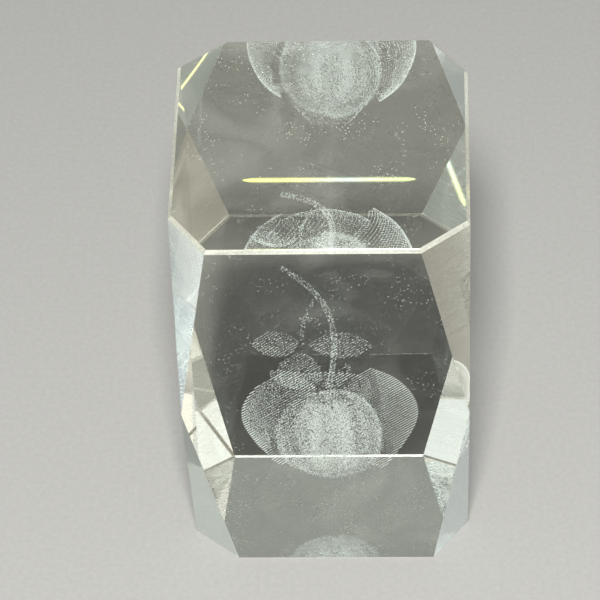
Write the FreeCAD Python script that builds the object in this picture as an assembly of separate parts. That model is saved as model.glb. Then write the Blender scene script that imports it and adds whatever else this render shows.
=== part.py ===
"""Crystal award: a free-standing optical-glass block with a rose engraved inside it.

All sizes are in millimetres. The origin is the middle of the base, +Z is up and the front
face looks towards -Y. The rose hangs bloom down, with its stem rising to the upper left.
The engraving is microscopic cracks in the glass. Each sheet or strand of it is modelled as
a thin closed solid that fills a void of the same shape in the block.
"""
import FreeCAD
import Part
import math
import os

Vector = FreeCAD.Vector

# --- the glass block ---------------------------------------------------------------------
WIDTH = 60.0
DEPTH = 60.0
HEIGHT = 100.0
CORNER_LONG = 9.8        # reach of a corner cut along one edge of the top or bottom face
CORNER_SHORT = 7.7       # reach of the same cut along the other edge
TOP_BEVEL = 0.7
BASE_BEVEL = 0.45

# --- the engraved rose -------------------------------------------------------------------
SHEET = 0.35             # thickness of an engraved petal or leaf
GAP = 0.4                # clear glass between the stem and the calyx
BLOOM_X = 0.3            # axis of the bloom
BLOOM_Y = -3.0
CALYX_Z = 41.5           # where the stem meets the bloom
BLOOM_RADIUS = 18.3      # outer edge of the spread petals
BUD_RADIUS = 10.8
BUD_TOP_Z = 38.5
BUD_FOOT_Z = 14.3        # lowest edge of the bud
BUD_LEAN = 0.13          # how far the bud swings back for each millimetre below the calyx
STEM_DIAMETER = 1.1
TWIG_DIAMETER = 0.7

# The stem and the leaf stalk, as the points that their rounded runs turn at.
STEM_ROUTE = [
    (-8.2, -5.2, 81.4),
    (-3.6, -3.4, 76.0),
    (0.6, -3.0, 68.6),
    (2.0, -3.0, 60.0),
    (1.6, -3.0, 50.5),
    (BLOOM_X, BLOOM_Y, CALYX_Z + GAP),
]
TWIG_ROUTE = [
    (-1.9, -4.2, 71.2),
    (-3.6, -5.0, 67.6),
    (-4.6, -5.6, 63.0),
    (-4.7, -6.0, 57.4),
]
BRACT_MIDDLE = (-3.9, -7.0, 66.9)    # the small bract across the leaf stalk
BRACT_LENGTH = 3.0
CALYX_RADIUS = 2.2       # the small cup that opens below the stem
CALYX_HEIGHT = 1.2
BEND_SHARE = 0.45        # part of a straight run that the bend at each end may use
PETAL_FULLNESS = 0.7     # the smaller this power, the squarer a petal's outline
BLADE_FULLNESS = 0.75    # the same for leaflets and sepals
BLADE_TIP = 0.08         # width of a blade's ends beside its middle
LEAN_AT_ENDS = 0.35      # share of a petal's lean that is left at its two ends
EDGE_WAVES = 1.25        # ripples of a free edge from its middle to one side
TOLERANCE = 0.001

# Section of the back petal, which is tucked under its two neighbours: radius and height.
BACK_PROFILE = [
    (4.3, 39.8),
    (9.0, 40.8),
    (13.6, 39.2),
    (15.7, 34.6),
    (15.0, 28.0),
    (13.4, 20.0),
]

# Leaflets, and the sepals above the bloom: where each starts and ends, its half width, and
# how far its middle bulges to the front.
BLADES = {
    "etched_leaflet_left": ((-5.4, -6.4, 59.0), (-15.2, -5.0, 57.6), 4.1, 1.6),
    "etched_leaflet_right": ((-3.2, -6.6, 58.6), (9.8, -7.4, 58.4), 4.0, 1.5),
    "etched_leaflet_lower": ((-4.9, -7.8, 56.6), (-6.2, -10.4, 46.4), 4.8, 1.2),
    "etched_sepal_left": ((-2.4, -5.6, 43.6), (-11.8, -6.6, 50.0), 2.6, 0.8),
    "etched_sepal_right": ((2.2, -4.4, 43.8), (4.7, -5.0, 51.7), 1.3, 0.5),
}


def corner_wedge(x_side, y_side, end_z, x_reach, y_reach):
    """The glass ground off one corner: a wedge that runs out at half height."""
    corner = Vector(x_side * WIDTH / 2, y_side * DEPTH / 2, end_z)
    along_x = corner - Vector(x_side * x_reach, 0, 0)
    along_y = corner - Vector(0, y_side * y_reach, 0)
    half_way = Vector(corner.x, corner.y, HEIGHT / 2)
    triangles = [
        (corner, along_x, along_y),
        (corner, along_x, half_way),
        (corner, along_y, half_way),
        (along_x, along_y, half_way),
    ]
    faces = [Part.Face(Part.makePolygon([a, b, c, a])) for a, b, c in triangles]
    wedge = Part.Solid(Part.Shell(faces))
    if wedge.Volume < 0:
        wedge.reverse()
    return wedge


def end_edges(solid, z):
    """The edges that outline the top or the bottom face."""
    return [edge for edge in solid.Edges
            if all(abs(vertex.Z - z) < 1e-6 for vertex in edge.Vertexes)]


def glass_block():
    """The block with eight corner cuts that alternate long and short round each end."""
    block = Part.makeBox(WIDTH, DEPTH, HEIGHT, Vector(-WIDTH / 2, -DEPTH / 2, 0))
    for x_side in (-1, 1):
        for y_side in (-1, 1):
            for end_z in (0, HEIGHT):
                turn = x_side * y_side * (1 if end_z else -1)
                x_reach = CORNER_LONG if turn < 0 else CORNER_SHORT
                y_reach = CORNER_SHORT if turn < 0 else CORNER_LONG
                block = block.cut(corner_wedge(x_side, y_side, end_z, x_reach, y_reach))
    block = block.makeChamfer(TOP_BEVEL, end_edges(block, HEIGHT))
    return block.makeChamfer(BASE_BEVEL, end_edges(block, 0))


def sheet(rows):
    """A thin closed solid that follows a smooth surface through rows of points."""
    surface = Part.BSplineSurface()
    surface.interpolate([[Vector(*point) for point in row] for row in rows])
    solid = surface.toShape().makeOffsetShape(SHEET, TOLERANCE, fill=True)
    if solid.Volume < 0:
        solid.reverse()
    return solid


def steps(count):
    """Evenly spaced values from 0 to 1."""
    return [index / (count - 1) for index in range(count)]


def smooth_profile(points):
    """A curve through (radius, height) points, read at a share of its length."""
    curve = Part.BSplineCurve()
    curve.interpolate([Vector(radius, 0, height) for radius, height in points])
    return curve


def petal(profile, facing, half_angle, lean=0.0, ripple=0.0, narrow=0.55, swing=0.0):
    """A petal that wraps round the bloom's axis.

    profile is its section from the calyx to the free edge. facing is the direction of its
    middle and half_angle its reach to each side, in degrees. lean moves one side outwards
    and the other inwards, so that neighbours overlap without touching. ripple waves the
    free edge, narrow is how wide the ends are beside the middle, and swing carries the
    petal back as it hangs lower.
    """
    curve = smooth_profile(profile)
    rows = []
    for along in steps(11):
        place = curve.value(curve.FirstParameter
                            + along * (curve.LastParameter - curve.FirstParameter))
        swell = math.sin(math.pi * along)
        reach = half_angle * (narrow + (1 - narrow) * swell ** PETAL_FULLNESS)
        row = []
        for across in steps(9):
            side = 2 * across - 1
            angle = math.radians(facing + side * reach)
            wave = ripple * along ** 2 * math.cos(2 * math.pi * EDGE_WAVES * side)
            spiral = lean * side * (LEAN_AT_ENDS + (1 - LEAN_AT_ENDS) * swell)
            radius = place.x + spiral + wave
            row.append((BLOOM_X + radius * math.cos(angle),
                        BLOOM_Y + radius * math.sin(angle) + swing * (CALYX_Z - place.z),
                        place.z + 0.5 * wave))
        rows.append(row)
    return sheet(rows)


def blade(start, end, half_width, bulge):
    """A pointed oval leaflet or sepal that stands upright and bulges to the front."""
    base = Vector(*start)
    run = Vector(*end) - base
    level = Vector(0, 1, 0).cross(run)
    level.normalize()
    rows = []
    for along in steps(9):
        swell = math.sin(math.pi * along)
        spread = half_width * (BLADE_TIP + (1 - BLADE_TIP) * swell ** BLADE_FULLNESS)
        row = []
        for across in steps(7):
            side = 2 * across - 1
            forward = bulge * swell * (1 - side ** 2)
            point = base + run * along + level * (side * spread) - Vector(0, forward, 0)
            row.append((point.x, point.y, point.z))
        rows.append(row)
    return sheet(rows)


def rounded_path(route):
    """Straight runs joined by tangent arcs that are as large as the runs allow."""
    points = [Vector(*place) for place in route]
    edges = []
    start = points[0]
    for before, corner, after in zip(points, points[1:], points[2:]):
        back = before - corner
        ahead = after - corner
        trim = BEND_SHARE * min(back.Length, ahead.Length)
        back.normalize()
        ahead.normalize()
        arc_start = corner + back * trim
        arc_end = corner + ahead * trim
        middle_way = back + ahead
        middle_way.normalize()
        half_turn = (math.pi - back.getAngle(ahead)) / 2
        radius = trim / math.tan(half_turn)
        nearest = corner + middle_way * (radius / math.cos(half_turn) - radius)
        edges.append(Part.LineSegment(start, arc_start).toShape())
        edges.append(Part.Arc(arc_start, nearest, arc_end).toShape())
        start = arc_end
    edges.append(Part.LineSegment(start, points[-1]).toShape())
    return Part.Wire(edges)


def strand(route, diameter):
    """A round strand along a rounded path."""
    path = rounded_path(route)
    first = Vector(*route[0])
    heading = Vector(*route[1]) - first
    ring = Part.Wire(Part.makeCircle(diameter / 2, first, heading))
    return path.makePipeShell([ring], True, False)


def bract():
    """The small bract that crosses the leaf stalk."""
    left_end = Vector(*BRACT_MIDDLE) - Vector(BRACT_LENGTH / 2, 0, 0)
    return Part.makeCylinder(TWIG_DIAMETER / 2, BRACT_LENGTH, left_end, Vector(1, 0, 0))


def calyx():
    """The small cup where the stem opens into the bloom."""
    return Part.makeCone(STEM_DIAMETER / 2, CALYX_RADIUS, CALYX_HEIGHT,
                         Vector(BLOOM_X, BLOOM_Y, CALYX_Z), Vector(0, 0, -1))


def spread_profile(low):
    """Section of a spread petal: out from the calyx, over the edge and down to low."""
    return [
        (3.2, CALYX_Z - 0.4),
        (9.5, CALYX_Z + 1.2),
        (15.2, CALYX_Z - 0.6),
        (BLOOM_RADIUS, 36.0),
        (BLOOM_RADIUS - 0.9, 30.0),
        (BLOOM_RADIUS - 4.6, low),
    ]


def bud_profile(share, top_drop):
    """Section of a bud petal, at a share of the bud's radius."""
    radius = BUD_RADIUS * share
    top = BUD_TOP_Z - top_drop
    return [
        (radius * 0.3 + 0.6, top),
        (radius * 0.76, top - 3.2),
        (radius * 0.95, top - 8.5),
        (radius, top - 14.5),
        (radius * 0.82, BUD_FOOT_Z + 3.2),
        (radius * 0.5, BUD_FOOT_Z),
    ]


def spread_petals():
    """The three wide outer petals: left, right and back."""
    return {
        "etched_petal_left": petal(spread_profile(22.5), 186, 62, 0.6, 0.35),
        "etched_petal_right": petal(spread_profile(21.0), -4, 62, 0.6, 0.35),
        "etched_petal_back": petal(BACK_PROFILE, 91, 36, 0.3, 0.3, 0.55, BUD_LEAN),
    }


def bud_petals():
    """The bud: an outer and an inner ring of three petals and a two-petal heart."""
    nodes = {}
    rings = [("outer", 1.0, 0.0, 66, 30), ("inner", 0.66, 0.7, 66, 90)]
    for ring, share, drop, half_angle, first in rings:
        for index in range(3):
            name = f"etched_bud_{ring}_petal_{index + 1}"
            profile = bud_profile(share, drop)
            nodes[name] = petal(profile, first + 120 * index, half_angle, 0.8, 0.0, 0.7,
                                BUD_LEAN)
    for index, facing in enumerate((20, 200)):
        name = f"etched_heart_petal_{index + 1}"
        nodes[name] = petal(bud_profile(0.38, 1.4), facing, 78, 0.5, 0.0, 0.85, BUD_LEAN)
    return nodes


def engraving():
    """Every engraved sheet and strand, by node name."""
    nodes = {
        "etched_stem": strand(STEM_ROUTE, STEM_DIAMETER),
        "etched_leaf_stalk": strand(TWIG_ROUTE, TWIG_DIAMETER),
        "etched_bract": bract(),
        "etched_calyx": calyx(),
    }
    for name, (start, end, half_width, bulge) in BLADES.items():
        nodes[name] = blade(start, end, half_width, bulge)
    nodes.update(spread_petals())
    nodes.update(bud_petals())
    return nodes


def main():
    os.makedirs("parts", exist_ok=True)
    nodes = engraving()
    nodes["crystal_block"] = glass_block().cut(list(nodes.values())).Solids[0]
    for name, shape in nodes.items():
        shape.exportStep(f"parts/{name}.step")
        print(name, shape.ShapeType, len(shape.Solids), shape.isValid(),
              round(shape.Volume, 2))


main()
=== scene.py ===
import math
from typing import NamedTuple

import bmesh
import bpy
import numpy as np
from mathutils import Matrix, Vector


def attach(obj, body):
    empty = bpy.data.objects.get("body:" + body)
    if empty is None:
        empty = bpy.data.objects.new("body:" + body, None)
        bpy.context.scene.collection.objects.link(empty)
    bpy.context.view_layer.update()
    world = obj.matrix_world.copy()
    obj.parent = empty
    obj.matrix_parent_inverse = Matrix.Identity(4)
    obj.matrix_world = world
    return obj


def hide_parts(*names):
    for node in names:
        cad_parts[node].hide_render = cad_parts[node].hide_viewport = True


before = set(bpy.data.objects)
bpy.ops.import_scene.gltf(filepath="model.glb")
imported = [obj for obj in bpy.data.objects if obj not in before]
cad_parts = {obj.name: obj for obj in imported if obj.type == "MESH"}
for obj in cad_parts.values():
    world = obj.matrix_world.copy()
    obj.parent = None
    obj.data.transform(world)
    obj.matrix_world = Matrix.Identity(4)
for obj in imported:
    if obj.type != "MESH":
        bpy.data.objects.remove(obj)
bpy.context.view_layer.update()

MM = 0.001
BODY = "root"

# --- camera, in metres and degrees, and lens and sensor in millimetres -----------------------
VIEW_AZIMUTH = 3.5       # from straight in front, towards the right
VIEW_ELEVATION = 48.5
VIEW_ROLL = 3.0
VIEW_DISTANCE = 0.680
VIEW_TARGET = Vector((-0.0058, 0.0, 0.0518))
LENS = 191.0
SENSOR = 36.0

# --- light ---------------------------------------------------------------------------------
# Soft boxes: degrees from straight in front towards the right, degrees up, metres away, size
# in metres, watts, colour, and whether the light falls on the glass alone.
LAMPS = (
    ("key_light", 1, 59, 1.0, (0.16, 0.16), 14.5, (1.0, 1.0, 1.0), False),
    ("left_light", -48, 40, 1.0, (0.8, 0.7), 1.4, (0.93, 0.97, 1.0), True),
    ("right_light", 66, 45, 1.0, (0.6, 0.6), 1.1, (1.0, 0.97, 0.9), True),
    ("back_light", 180, 56, 0.9, (1.7, 0.9), 1.2, (0.95, 1.0, 0.95), True),
)
LAMP_TARGET = Vector((0.0, 0.0, 0.05))
WORLD_LOW = (0.035, 0.037, 0.035)
WORLD_HIGH = (0.07, 0.073, 0.075)

# --- floor, and the thin line of lamp light on it, in metres ---------------------------------
FLOOR_COLOR = (0.46, 0.455, 0.43)
FLOOR_GRAIN = 0.04           # how far the grain strays from that colour
FLOOR_DROP = 0.05 * MM
FLOOR_HALF = 3.0
STREAK_MIDDLE = Vector((-0.4, 19.6, -0.03)) * MM
STREAK_LENGTH = 38.6 * MM
STREAK_WIDTH = 1.8 * MM
STREAK_STEPS = 24
STREAK_TIP = 0.02            # the square of the tips' share of the width
STREAK_BASE = (0.5, 0.5, 0.4)
STREAK_GLOW = 2.2
STREAK_COLORS = (
    (0.00, (0.75, 0.80, 0.20)),
    (0.35, (0.80, 0.75, 0.30)),
    (0.60, (0.55, 0.70, 0.70)),
    (0.80, (0.75, 0.80, 0.45)),
    (1.00, (0.55, 0.75, 0.30)),
)
MATT = 0.8                   # roughness of the floor and the line

# --- glass ---------------------------------------------------------------------------------
BLOCK_HEIGHT = 100 * MM
GLASS_IOR = 1.52
GLASS_TINT = (0.89, 0.905, 0.81)
EDGE_ROUND = 0.12 * MM
# Dust and hairline scratches: degrees of turn, size of a cell along each axis in metres, and
# how much of its cell a mark fills.
MARKS = (
    ((0, 0, 0), (0.0009, 0.0009, 0.0009), 0.19),
    ((20, 35, 50), (0.0090, 0.0008, 0.0008), 0.12),
    ((-40, 15, -35), (0.0008, 0.0075, 0.0008), 0.12),
)
MARK_MILKINESS = 0.5         # share of light that a mark doesn't let through
SMUDGE_MILKINESS = 0.14
# The finely ground bevels.
BEVEL_TINT = (0.93, 0.92, 0.78)
BEVEL_ROUGHNESS = 0.15
BEVEL_CLEARNESS = (0.55, 0.68)
# The corner facets: fine ripples, and a faint painted glow, which stands for scattered light,
# in one of three tints that stand for the colours the glass spreads.
FACET_ROUGHNESS = 0.02
FACET_RIPPLES = (90, 90, 2200)      # in a metre along each axis
FACET_CLEARNESS = (0.93, 1.0)
FACET_GLOW = 0.17
FACET_GLOW_COLORS = (
    ("facet_glow_pale", (0.88, 1.0, 0.92)),
    ("facet_glow_blue", (0.78, 0.92, 1.0)),
    ("facet_glow_warm", (1.0, 0.90, 0.68)),
)
# Heights, as shares of the block's, and the share of lamp light that passes from there on up.
LIGHT_THROUGH = (
    (0.0, 1.0),              # the base
    (0.006, 0.4),            # the sides
    (0.993, 0.06),           # the top
)
# Which of the block's materials a face has: the facets' painted glow tints come last.
POLISHED, GROUND, FIRST_GLOW_TINT = 0, 1, 2
# How a face's normal leans: bevels up or down, corner facets sideways.
BEVEL_LEAN = (0.3, 0.95)
FACET_LEAN = 0.2
FLAT_ANGLE = math.radians(0.5)
SHARP_ANGLE = math.radians(40)

# --- engraving -----------------------------------------------------------------------------
BLOOM_MIDDLE = Vector((0.3, -3.0, 29.0)) * MM
DOT_RADIUS = 0.095 * MM
DOT_SPREAD = (0.7, 1.3)      # a dot's spokes, as shares of that radius
DOT_COLOR = (0.82, 0.85, 0.82)
DOT_ROUGHNESS = 0.9
DOT_GLOW = (0.90, 1.0, 0.95)
GLOW_STRENGTHS = {"bright": 0.38, "fine": 0.75}
GLOW_SPREAD = (0.65, 1.25)   # the weakest and strongest dots, as shares of that strength

# Normals of the parallel planes that cut an engraved sheet into rows of dots.
RISING = (-0.59, 0.41, 0.70)
FALLING = (0.59, 0.41, 0.70)
LEVEL = (0.0, 0.15, 1.0)
LEANING = (0.3, 0.0, 1.0)


class Pattern(NamedTuple):
    """How the dots of an engraved mark lie. Lengths are in millimetres."""
    glow: str
    rows: tuple
    spacing: float               # between rows
    pitch: float                 # between the dots of a row
    scatter: float               # how far dots stray
    outer_side: bool = False     # dots on the side that faces away from the bloom's middle only
    rim_pitch: float = None      # between the dots round that side's edge


OUTER_BUD = Pattern("bright", RISING, 0.5, 0.36, 0.3, True, 0.5)
INNER_BUD = Pattern("bright", FALLING, 0.5, 0.36, 0.6, True, 0.5)
HEART = Pattern("bright", LEVEL, 0.45, 0.3, 0.9)
BLADE = Pattern("fine", RISING, 0.55, 0.5, 0.06)
STEM = Pattern("fine", LEVEL, 0.45, 0.5, 0.08)
STALK = Pattern("fine", LEANING, 0.5, 0.6, 0.05)
PATTERNS = {
    "petal_left": Pattern("fine", RISING, 0.58, 0.34, 0.02, True),
    "petal_right": Pattern("fine", RISING, 0.56, 0.30, 0.02, True),
    "petal_back": Pattern("fine", RISING, 0.60, 0.50, 0.02, True),
    "bud_outer_petal_1": OUTER_BUD,
    "bud_inner_petal_1": INNER_BUD,
    "bud_outer_petal_2": OUTER_BUD,
    "bud_inner_petal_2": INNER_BUD,
    "bud_outer_petal_3": OUTER_BUD,
    "bud_inner_petal_3": INNER_BUD,
    "heart_petal_1": HEART,
    "heart_petal_2": HEART,
    "leaflet_left": BLADE,
    "leaflet_right": BLADE,
    "leaflet_lower": BLADE,
    "sepal_left": BLADE,
    "sepal_right": BLADE,
    "stem": STEM,
    "calyx": STEM,
    "leaf_stalk": STALK,
    "bract": STALK,
}


# ============================================================================================
# Stage
# ============================================================================================

def direction(azimuth, elevation):
    """From the block towards a place. Azimuth 0 is in front, and 90 to the right."""
    azimuth = math.radians(azimuth)
    elevation = math.radians(elevation)
    return Vector((math.sin(azimuth) * math.cos(elevation),
                   -math.cos(azimuth) * math.cos(elevation),
                   math.sin(elevation)))


def add_camera():
    """A long lens that looks down on the block."""
    back = direction(VIEW_AZIMUTH, VIEW_ELEVATION)
    right = (-back).cross(Vector((0, 0, 1))).normalized()
    up = back.cross(right)
    roll = Matrix.Rotation(math.radians(-VIEW_ROLL), 4, "Z")
    camera = bpy.data.objects.new("camera", bpy.data.cameras.new("camera"))
    camera.data.lens = LENS
    camera.data.sensor_width = SENSOR
    camera.data.clip_start = 0.01
    bpy.context.scene.collection.objects.link(camera)
    turn = Matrix((right, up, back)).transposed().to_4x4()
    camera.matrix_world = Matrix.Translation(VIEW_TARGET + back * VIEW_DISTANCE) @ turn @ roll
    bpy.context.scene.camera = camera


def add_lights(block):
    """A key from the front and above, whose shadow the glass shows behind the block."""
    glass_only = bpy.data.collections.new("glass_only")
    glass_only.objects.link(block)
    for name, azimuth, elevation, distance, size, power, color, on_glass_only in LAMPS:
        lamp = bpy.data.lights.new(name, "AREA")
        lamp.shape = "RECTANGLE"
        lamp.size, lamp.size_y = size
        lamp.energy = power
        lamp.color = color
        light = bpy.data.objects.new(name, lamp)
        away = direction(azimuth, elevation)
        light.location = LAMP_TARGET + away * distance
        light.rotation_euler = away.to_track_quat("Z", "Y").to_euler()
        light.visible_camera = False
        if on_glass_only:
            light.light_linking.receiver_collection = glass_only
        bpy.context.scene.collection.objects.link(light)


class Nodes:
    """An empty node tree for a material or a world, with short ways to fill it."""

    def __init__(self, owner):
        kind = "World" if isinstance(owner, bpy.types.World) else "Material"
        self.output = f"ShaderNodeOutput{kind}"
        owner.use_nodes = True
        self.tree = owner.node_tree
        self.tree.nodes.clear()
        self.link = self.tree.links.new

    def add(self, kind, **settings):
        node = self.tree.nodes.new(kind)
        for key, value in settings.items():
            setattr(node, key, value)
        return node

    def place(self):
        """Where a point lies on the object, in metres."""
        return self.add("ShaderNodeTexCoord").outputs["Object"]

    def noise(self, place, scale, detail, distortion=0.0):
        """Noise with that many waves in a metre."""
        node = self.add("ShaderNodeTexNoise")
        node.inputs["Scale"].default_value = scale
        node.inputs["Detail"].default_value = detail
        node.inputs["Distortion"].default_value = distortion
        self.link(place, node.inputs["Vector"])
        return node.outputs[0]

    def spread(self, value, low, high, bottom, top):
        """Turns values from low to high into values from bottom to top."""
        node = self.add("ShaderNodeMapRange")
        for name, number in (("From Min", low), ("From Max", high),
                             ("To Min", bottom), ("To Max", top)):
            node.inputs[name].default_value = number
        self.link(value, node.inputs["Value"])
        return node.outputs[0]

    def both(self, operation, first, second):
        """A math node on two sockets."""
        node = self.add("ShaderNodeMath", operation=operation)
        self.link(first, node.inputs[0])
        self.link(second, node.inputs[1])
        return node.outputs[0]

    def ramp(self, value, stops, interpolation="LINEAR"):
        """A colour ramp with a colour at each position."""
        node = self.add("ShaderNodeValToRGB")
        node.color_ramp.interpolation = interpolation
        elements = node.color_ramp.elements
        elements[0].position, elements[1].position = stops[0][0], stops[-1][0]
        for position, _ in stops[1:-1]:
            elements.new(position)
        for element, (_, color) in zip(elements, stops):
            element.color = (*color, 1)
        self.link(value, node.inputs[0])
        return node.outputs[0]

    def split(self, vector):
        """The X, Y and Z of a vector, by name."""
        node = self.add("ShaderNodeSeparateXYZ")
        self.link(vector, node.inputs[0])
        return node.outputs

    def surface(self, color, roughness, **sockets):
        """The Principled shader, with more of its sockets by name."""
        node = self.add("ShaderNodeBsdfPrincipled")
        node.inputs["Base Color"].default_value = (*color, 1)
        node.inputs["Roughness"].default_value = roughness
        for name, value in sockets.items():
            node.inputs[name.replace("_", " ")].default_value = value
        return node

    def finish(self, shader):
        """Shows a shader."""
        self.link(shader.outputs[0], self.add(self.output).inputs["Surface"])


def set_world():
    """An even grey studio that brightens overhead."""
    world = bpy.data.worlds.new("studio")
    nodes = Nodes(world)
    height = nodes.split(nodes.add("ShaderNodeTexCoord").outputs["Generated"])["Z"]
    background = nodes.add("ShaderNodeBackground")
    sky = nodes.ramp(height, ((0.05, WORLD_LOW), (0.9, WORLD_HIGH)))
    nodes.link(sky, background.inputs["Color"])
    nodes.finish(background)
    bpy.context.scene.world = world


def floor_material():
    """A plain pale floor with a fine grain."""
    material = bpy.data.materials.new("floor")
    nodes = Nodes(material)
    grain = nodes.noise(nodes.place(), 900.0, 4.0)
    darker = [(1 - FLOOR_GRAIN) * share for share in FLOOR_COLOR]
    lighter = [(1 + FLOOR_GRAIN) * share for share in FLOOR_COLOR]
    surface = nodes.surface(FLOOR_COLOR, MATT)
    nodes.link(nodes.ramp(grain, ((0.3, darker), (0.7, lighter))), surface.inputs["Base Color"])
    nodes.finish(surface)
    return material


def flat_piece(name, corners, faces, material):
    """A flat piece of the stage."""
    mesh = bpy.data.meshes.new(name)
    mesh.from_pydata(corners, [], faces)
    mesh.materials.append(material)
    piece = bpy.data.objects.new(name, mesh)
    bpy.context.scene.collection.objects.link(piece)
    return piece


def add_floor():
    corners = [(x * FLOOR_HALF, y * FLOOR_HALF, -FLOOR_DROP)
               for x, y in ((-1, -1), (1, -1), (1, 1), (-1, 1))]
    flat_piece("floor", corners, [(0, 1, 2, 3)], floor_material())


def streak_material():
    """A glow that changes its faint colours along the line and fades towards its sides."""
    material = bpy.data.materials.new("light_streak")
    nodes = Nodes(material)
    place = nodes.split(nodes.place())
    along = nodes.spread(place["X"], -STREAK_LENGTH / 2, STREAK_LENGTH / 2, 0.0, 1.0)
    across = nodes.add("ShaderNodeMath", operation="ABSOLUTE")
    nodes.link(place["Y"], across.inputs[0])
    surface = nodes.surface(STREAK_BASE, MATT)
    nodes.link(nodes.ramp(along, STREAK_COLORS), surface.inputs["Emission Color"])
    nodes.link(nodes.spread(across.outputs[0], STREAK_WIDTH / 2, 0.0, 0.0, STREAK_GLOW),
               surface.inputs["Emission Strength"])
    nodes.finish(surface)
    return material


def add_streak():
    """A thin glowing line that stands for the lamp light which the front top bevel throws."""
    corners = []
    for step in range(STREAK_STEPS + 1):
        share = 2 * step / STREAK_STEPS - 1
        x = STREAK_LENGTH / 2 * share
        half = STREAK_WIDTH / 2 * math.sqrt(max(1 - share ** 8, STREAK_TIP))
        corners += [(x, -half, 0), (x, half, 0)]
    faces = [(2 * step, 2 * step + 2, 2 * step + 3, 2 * step + 1)
             for step in range(STREAK_STEPS)]
    streak = flat_piece("light_streak", corners, faces, streak_material())
    streak.location = STREAK_MIDDLE
    streak.visible_shadow = False


# ============================================================================================
# Materials
# ============================================================================================

def crystal_material():
    """Polished optical glass with faint smudges, dust and hairlines."""
    material = bpy.data.materials.new("crystal")
    nodes = Nodes(material)
    place = nodes.place()
    marks = None
    for turn, size, reach in MARKS:
        mark = mark_cells(nodes, place, turn, size, reach)
        marks = nodes.both("MAXIMUM", marks, mark) if marks else mark
    patches = nodes.spread(nodes.noise(place, 110.0, 4.0), 0.42, 0.62, 0.0, 1.0)
    smears = nodes.noise(place, 45.0, 6.0, 1.2)
    smudges = nodes.spread(smears, 0.5, 0.85, 0.0, SMUDGE_MILKINESS)
    dirt = nodes.both("MAXIMUM", smudges, nodes.both("MULTIPLY", marks, patches))
    glass = nodes.surface(GLASS_TINT, 0.0, IOR=GLASS_IOR)
    nodes.link(nodes.spread(dirt, 0.0, 1.0, 1.0, 0.0), glass.inputs["Transmission Weight"])
    finish_glass(nodes, glass)
    return material


def mark_cells(nodes, place, turn, size, reach):
    """A small mark in the middle of each cell of a turned and stretched pattern."""
    turned = nodes.add("ShaderNodeMapping", vector_type="TEXTURE")
    turned.inputs["Rotation"].default_value = [math.radians(angle) for angle in turn]
    turned.inputs["Scale"].default_value = size
    cells = nodes.add("ShaderNodeTexVoronoi")
    cells.inputs["Scale"].default_value = 1.0
    nodes.link(place, turned.inputs["Vector"])
    nodes.link(turned.outputs[0], cells.inputs["Vector"])
    return nodes.spread(cells.outputs["Distance"], reach, 0.6 * reach, 0.0, MARK_MILKINESS)


def facet_material(name, color):
    """A finely rippled corner facet. Its faint glow stands for the scattered light it holds."""
    material = bpy.data.materials.new(name)
    nodes = Nodes(material)
    stretched = nodes.add("ShaderNodeMapping")
    stretched.inputs["Scale"].default_value = FACET_RIPPLES
    nodes.link(nodes.place(), stretched.inputs["Vector"])
    ripple = nodes.noise(stretched.outputs[0], 1.0, 3.0)
    glass = nodes.surface(GLASS_TINT, FACET_ROUGHNESS, IOR=GLASS_IOR,
                          Emission_Color=(*color, 1), Emission_Strength=FACET_GLOW)
    nodes.link(nodes.spread(ripple, 0.3, 0.7, *FACET_CLEARNESS),
               glass.inputs["Transmission Weight"])
    finish_glass(nodes, glass)
    return material


def ground_material():
    """The finely ground bevels: frosted glass with a fine grain."""
    material = bpy.data.materials.new("ground_bevel")
    nodes = Nodes(material)
    grain = nodes.noise(nodes.place(), 1800.0, 3.0)
    glass = nodes.surface(BEVEL_TINT, BEVEL_ROUGHNESS, IOR=GLASS_IOR)
    nodes.link(nodes.spread(grain, 0.35, 0.65, *BEVEL_CLEARNESS),
               glass.inputs["Transmission Weight"])
    finish_glass(nodes, glass)
    return material


def finish_glass(nodes, glass):
    """Lets lamp light pass: freely by the base, and a share of it by the sides and the top."""
    height = nodes.spread(nodes.split(nodes.place())["Z"], 0.0, BLOCK_HEIGHT, 0.0, 1.0)
    stops = [(start, [share] * 3) for start, share in LIGHT_THROUGH]
    shade = nodes.add("ShaderNodeBsdfTransparent")
    nodes.link(nodes.ramp(height, stops, "CONSTANT"), shade.inputs["Color"])
    either = nodes.add("ShaderNodeMixShader")
    nodes.link(nodes.add("ShaderNodeLightPath").outputs["Is Shadow Ray"], either.inputs[0])
    nodes.link(glass.outputs[0], either.inputs[1])
    nodes.link(shade.outputs[0], either.inputs[2])
    nodes.finish(either)


def engraving_material(name, strength):
    """White micro-cracks. Their glow stands for the light that the block gathers on them."""
    material = bpy.data.materials.new(name)
    nodes = Nodes(material)
    grain = nodes.noise(nodes.place(), 2500.0, 1.0)
    surface = nodes.surface(DOT_COLOR, DOT_ROUGHNESS, Emission_Color=(*DOT_GLOW, 1))
    weakest, strongest = (share * strength for share in GLOW_SPREAD)
    nodes.link(nodes.spread(grain, 0.3, 0.7, weakest, strongest),
               surface.inputs["Emission Strength"])
    nodes.finish(surface)
    return material


# ============================================================================================
# The block
# ============================================================================================

def merged_mesh(node):
    """A CAD node's mesh with its faces joined where they meet."""
    mesh = bmesh.new()
    mesh.from_mesh(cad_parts[node].data)
    bmesh.ops.remove_doubles(mesh, verts=mesh.verts, dist=1e-7)
    return mesh


def keep_outer_skin(mesh):
    """Deletes the inner skins, which line the voids that the engraving fills."""
    lowest = min(mesh.verts, key=lambda vertex: vertex.co.z)
    reached = {lowest}
    front = [lowest]
    while front:
        vertex = front.pop()
        for edge in vertex.link_edges:
            other = edge.other_vert(vertex)
            if other not in reached:
                reached.add(other)
                front.append(other)
    inner = [vertex for vertex in mesh.verts if vertex not in reached]
    bmesh.ops.delete(mesh, geom=inner, context="VERTS")


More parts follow.
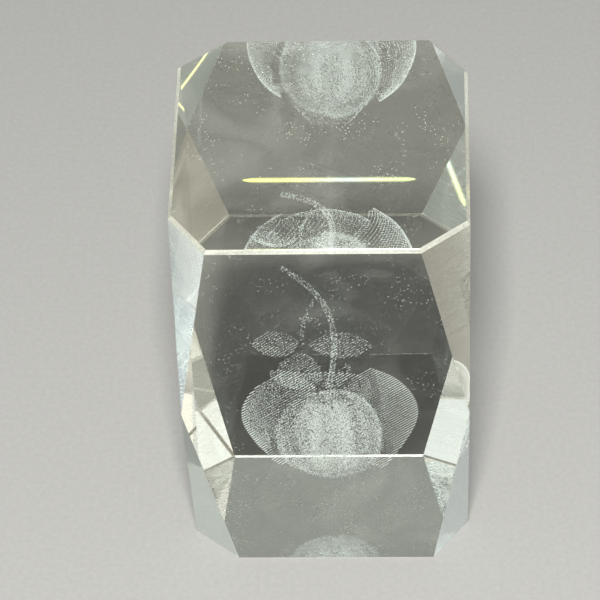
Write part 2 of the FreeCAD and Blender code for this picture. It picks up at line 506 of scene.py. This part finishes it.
def finished_piece(name, mesh, materials, node):
    """Turns a bmesh into a piece that stands for a CAD node."""
    data = bpy.data.meshes.new(name)
    mesh.to_mesh(data)
    mesh.free()
    for material in materials:
        data.materials.append(material)
    piece = bpy.data.objects.new(name, data)
    bpy.context.scene.collection.objects.link(piece)
    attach(piece, BODY)
    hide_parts(node)
    return piece


def surface_kind(normal):
    """The material of a face, by which way it leans."""
    if BEVEL_LEAN[0] < abs(normal.z) < BEVEL_LEAN[1]:
        return GROUND
    if min(abs(normal.x), abs(normal.y)) < FACET_LEAN:
        return POLISHED
    facet = (normal.x > 0) + 2 * (normal.y > 0) + 4 * (normal.z > 0)
    return FIRST_GLOW_TINT + facet % len(FACET_GLOW_COLORS)


def add_block():
    """The ground block: flat facets whose edges are broken by a hair's breadth."""
    mesh = merged_mesh("crystal_block")
    keep_outer_skin(mesh)
    bmesh.ops.dissolve_limit(mesh, angle_limit=FLAT_ANGLE,
                             verts=mesh.verts, edges=mesh.edges)
    for face in mesh.faces:
        face.material_index = surface_kind(face.normal)
    bmesh.ops.bevel(mesh, geom=list(mesh.edges), offset=EDGE_ROUND, segments=2,
                    profile=0.5, affect="EDGES", clamp_overlap=True, material=GROUND)
    bmesh.ops.recalc_face_normals(mesh, faces=mesh.faces)
    materials = [crystal_material(), ground_material()]
    materials += [facet_material(name, color) for name, color in FACET_GLOW_COLORS]
    return finished_piece("glass_block", mesh, materials, "crystal_block")


# ============================================================================================
# The engraving
# ============================================================================================

def skin_triangles(mesh, outward):
    """Corner points of the triangles on the side of a sheet that outward points to."""
    points = []
    for face in mesh.faces:
        middle = face.calc_center_median()
        if outward is None or face.normal.dot(outward(middle)) > 0:
            points.append([vertex.co[:] for vertex in face.verts])
    return np.array(points)


def rim_lines(mesh, outward):
    """Start and end points of the sharp edges round a sheet's outer side."""
    lines = []
    for edge in mesh.edges:
        if len(edge.link_faces) != 2 or edge.calc_face_angle() < SHARP_ANGLE:
            continue
        middle = (edge.verts[0].co + edge.verts[1].co) / 2
        if max(face.normal.dot(outward(middle)) for face in edge.link_faces) > 0:
            lines.append([vertex.co[:] for vertex in edge.verts])
    return np.array(lines)


def slice_lines(triangles, normal, spacing):
    """Start and end points where a stack of evenly spaced planes cuts the triangles."""
    normal = np.array(normal) / np.linalg.norm(normal)
    level = triangles @ normal / spacing
    first = np.ceil(level.min(axis=1)).astype(int)
    last = np.floor(level.max(axis=1)).astype(int)
    count = np.maximum(last - first + 1, 0)
    which = np.repeat(np.arange(len(triangles)), count)
    start_of = np.cumsum(count) - count
    plane = first[which] + np.arange(len(which)) - start_of[which]
    corner = triangles[which]
    height = level[which] - plane[:, None]
    ends = []
    crossed = []
    for a, b in ((0, 1), (1, 2), (2, 0)):
        crosses = (height[:, a] < 0) != (height[:, b] < 0)
        span = np.where(crosses, height[:, a] - height[:, b], 1.0)
        share = (height[:, a] / span)[:, None]
        ends.append(corner[:, a] + share * (corner[:, b] - corner[:, a]))
        crossed.append(crosses)
    ends = np.stack(ends, axis=1)
    crossed = np.stack(crossed, axis=1)
    cut = crossed.sum(axis=1) == 2
    return ends[cut][crossed[cut]].reshape(-1, 2, 3)


def dots_along(lines, pitch, rng):
    """Random points on the lines, one for each pitch of length on average."""
    if len(lines) == 0:
        return np.zeros((0, 3))
    length = np.linalg.norm(lines[:, 1] - lines[:, 0], axis=1)
    count = np.floor(length / pitch + rng.random(len(lines))).astype(int)
    which = np.repeat(np.arange(len(lines)), count)
    share = rng.random(len(which))[:, None]
    return lines[which, 0] + share * (lines[which, 1] - lines[which, 0])


def dot_mesh(name, points, radius, rng):
    """A small eight-sided crack at every point, each with spokes of its own lengths."""
    count = len(points)
    spokes = np.array([(1, 0, 0), (0, 1, 0), (-1, 0, 0), (0, -1, 0), (0, 0, 1), (0, 0, -1)])
    faces = np.array([(0, 1, 4), (1, 2, 4), (2, 3, 4), (3, 0, 4),
                      (1, 0, 5), (2, 1, 5), (3, 2, 5), (0, 3, 5)])
    reach = radius * rng.uniform(*DOT_SPREAD, (count, 6, 1))
    corners = points[:, None, :] + spokes[None] * reach
    corner_rows = faces[None] + 6 * np.arange(count)[:, None, None]
    mesh = bpy.data.meshes.new(name)
    mesh.vertices.add(6 * count)
    mesh.vertices.foreach_set("co", corners.reshape(-1).astype(np.float32))
    mesh.loops.add(24 * count)
    mesh.loops.foreach_set("vertex_index", corner_rows.reshape(-1).astype(np.int32))
    mesh.polygons.add(8 * count)
    mesh.polygons.foreach_set("loop_start", 3 * np.arange(8 * count, dtype=np.int32))
    mesh.update()
    mesh.validate()
    return mesh


def from_bloom_middle(point):
    """The way out of the bloom at a point of it."""
    return point - BLOOM_MIDDLE


def add_engraving(node, pattern, material):
    """The dots of one engraved mark: rows cut by parallel planes, and a denser outline."""
    rng = np.random.default_rng(sum(node.encode()))
    outward = from_bloom_middle if pattern.outer_side else None
    mesh = merged_mesh(node)
    rows = slice_lines(skin_triangles(mesh, outward), pattern.rows, pattern.spacing * MM)
    points = dots_along(rows, pattern.pitch * MM, rng)
    if pattern.rim_pitch:
        rim = dots_along(rim_lines(mesh, outward), pattern.rim_pitch * MM, rng)
        points = np.vstack([points, rim])
    mesh.free()
    points = points + rng.normal(0.0, pattern.scatter * MM, points.shape)
    name = node.replace("etched", "dots")
    data = dot_mesh(name, points, DOT_RADIUS, rng)
    data.materials.append(material)
    piece = bpy.data.objects.new(name, data)
    bpy.context.scene.collection.objects.link(piece)
    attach(piece, BODY)
    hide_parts(node)
    piece.visible_shadow = False


def add_rose():
    materials = {glow: engraving_material(f"engraving_{glow}", strength)
                 for glow, strength in GLOW_STRENGTHS.items()}
    for mark, pattern in PATTERNS.items():
        add_engraving(f"etched_{mark}", pattern, materials[pattern.glow])


add_camera()
set_world()
add_floor()
add_streak()
block = add_block()
add_lights(block)
add_rose()

scene = bpy.context.scene
scene.view_settings.view_transform = "Standard"
scene.cycles.max_bounces = 24
scene.cycles.transmission_bounces = 24
scene.cycles.glossy_bounces = 12
scene.cycles.transparent_max_bounces = 16
scene.cycles.caustics_refractive = False
scene.cycles.caustics_reflective = False
